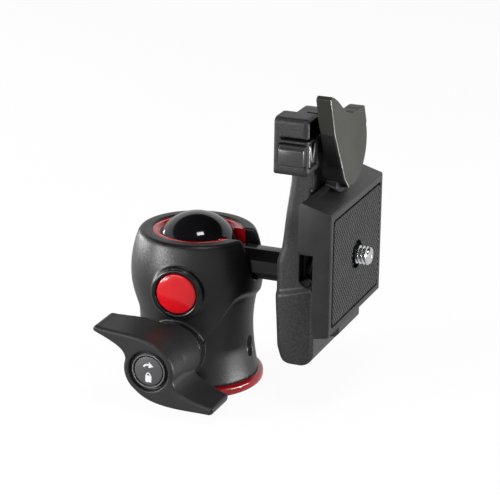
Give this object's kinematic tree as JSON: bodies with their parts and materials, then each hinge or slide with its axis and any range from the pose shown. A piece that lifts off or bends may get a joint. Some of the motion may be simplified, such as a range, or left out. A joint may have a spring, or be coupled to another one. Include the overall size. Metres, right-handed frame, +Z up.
{
  "type": "tripod ball head",
  "caption": "Compact tripod ball head with a drop notch, a winged locking knob and a lever-clamped quick-release camera plate.",
  "frame": {"origin": "mouth of the 3/8-inch thread, at the centre of the base's underside", "axes": "+Z up the housing's axis; +X along the neck as it lies in the drop notch, towards the camera plate; -Y towards the locking knob"},
  "size_m": [0.0867, 0.0684, 0.1143],
  "materials": {
    "cast_black": "satin black powder coat on cast aluminium",
    "cast_granular": "fine granular black paint on cast aluminium",
    "lever_grey": "satin grey coat on cast zinc-aluminium",
    "plate_grey": "smooth dark grey coat",
    "red_gloss": "glossy red plastic",
    "ball_black": "glossy black anodised and polished",
    "neck_black": "black anodised",
    "knob_black": "soft matt black",
    "cap_grey": "dark grey plastic",
    "cup_polymer": "natural bearing polymer",
    "steel": "plain steel",
    "black_steel": "blackened steel",
    "brass": "plain brass",
    "base_alloy": "machined aluminium",
    "pad_rubber": "ribbed black rubber",
    "chrome": "bright plated steel"
  },
  "bodies": {
    "housing": {"base_ring": "red_gloss", "base_plate": "base_alloy", "thread_bush": "brass", "base_screw_1": "black_steel", "base_screw_2": "black_steel", "base_screw_3": "black_steel", "housing": "cast_black", "collar_ring": "red_gloss", "badge": "red_gloss", "stop_screw": "black_steel", "shaft_bush": "brass"},
    "knob": {"knob": "knob_black", "knob_shaft": "steel", "shaft_clip": "steel", "knob_washer": "cup_polymer", "knob_screw": "steel", "knob_cap": "cap_grey"},
    "wedge": {"wedge": "brass"},
    "ball_cup": {"ball_cup": "cup_polymer"},
    "swing": {"ball_core": "base_alloy"},
    "tilt": {"ball": "ball_black", "neck_bolt": "steel"},
    "platform": {"neck": "neck_black", "neck_washer": "steel", "platform": "cast_granular", "lever_pin": "steel", "lever_spring": "steel", "catch_spring": "steel", "trigger_spring": "steel"},
    "lever": {"lever": "lever_grey"},
    "safety_catch": {"safety_catch": "lever_grey"},
    "trigger_pin": {"trigger_pin": "brass"},
    "plate": {"plate": "plate_grey", "plate_pad": "pad_rubber", "screw_clip": "steel"},
    "camera_screw": {"camera_screw": "chrome"}
  },
  "joints": [
    {"name": "wedge_draw", "type": "slide", "parent": "housing", "child": "wedge", "axis": [0, 1, 0], "range_m": [0, 0.0009375]},
    {"name": "knob_turn", "type": "hinge", "parent": "housing", "child": "knob", "pos_m": [0, 0, 0.0167], "axis": [0, -1, 0], "range_deg": [0, 270.1]},
    {"name": "cup_drop", "type": "slide", "parent": "housing", "child": "ball_cup", "axis": [0, 0, -1], "range_m": [0, 0.0003]},
    {"name": "neck_swing", "type": "hinge", "parent": "housing", "child": "swing", "pos_m": [0, 0, 0.0454], "axis": [1, 0, 0], "range_deg": [-22, 22]},
    {"name": "neck_tilt", "type": "hinge", "parent": "swing", "child": "tilt", "pos_m": [0, 0, 0.0454], "axis": [0, -1, 0], "range_deg": [0, 112]},
    {"name": "neck_spin", "type": "hinge", "parent": "tilt", "child": "platform", "pos_m": [0, 0, 0.0454], "axis": [1, 0, 0], "continuous": true},
    {"name": "lever_turn", "type": "hinge", "parent": "platform", "child": "lever", "pos_m": [0, -0.002, 0.091], "axis": [-1, 0, 0], "range_deg": [0, 60], "stiffness_Nm_per_rad": 0.03, "springref_deg": -28.65, "deforming": ["lever_spring"]},
    {"name": "catch_push", "type": "slide", "parent": "platform", "child": "safety_catch", "axis": [0, 1, 0], "range_m": [0, 0.0025], "stiffness_N_per_m": 150, "springref_m": -0.002, "deforming": ["catch_spring"]},
    {"name": "trigger_press", "type": "slide", "parent": "platform", "child": "trigger_pin", "axis": [-1, 0, 0], "range_m": [0, 0.0016], "stiffness_N_per_m": 100, "springref_m": -0.003, "deforming": ["trigger_spring"]},
    {"name": "plate_slide", "type": "slide", "parent": "platform", "child": "plate", "axis": [0, -1, 0], "range_m": [0, 0.058]},
    {"name": "camera_screw_turn", "type": "hinge", "parent": "plate", "child": "camera_screw", "pos_m": [0.0583, 0, 0.0532], "axis": [1, 0, 0], "continuous": true}
  ],
  "couplings": [
    {"joint": "knob_turn", "follows": "wedge_draw", "rad_per_m": 5026.5},
    {"joint": "cup_drop", "follows": "wedge_draw", "ratio": 0.26795}
  ]
}
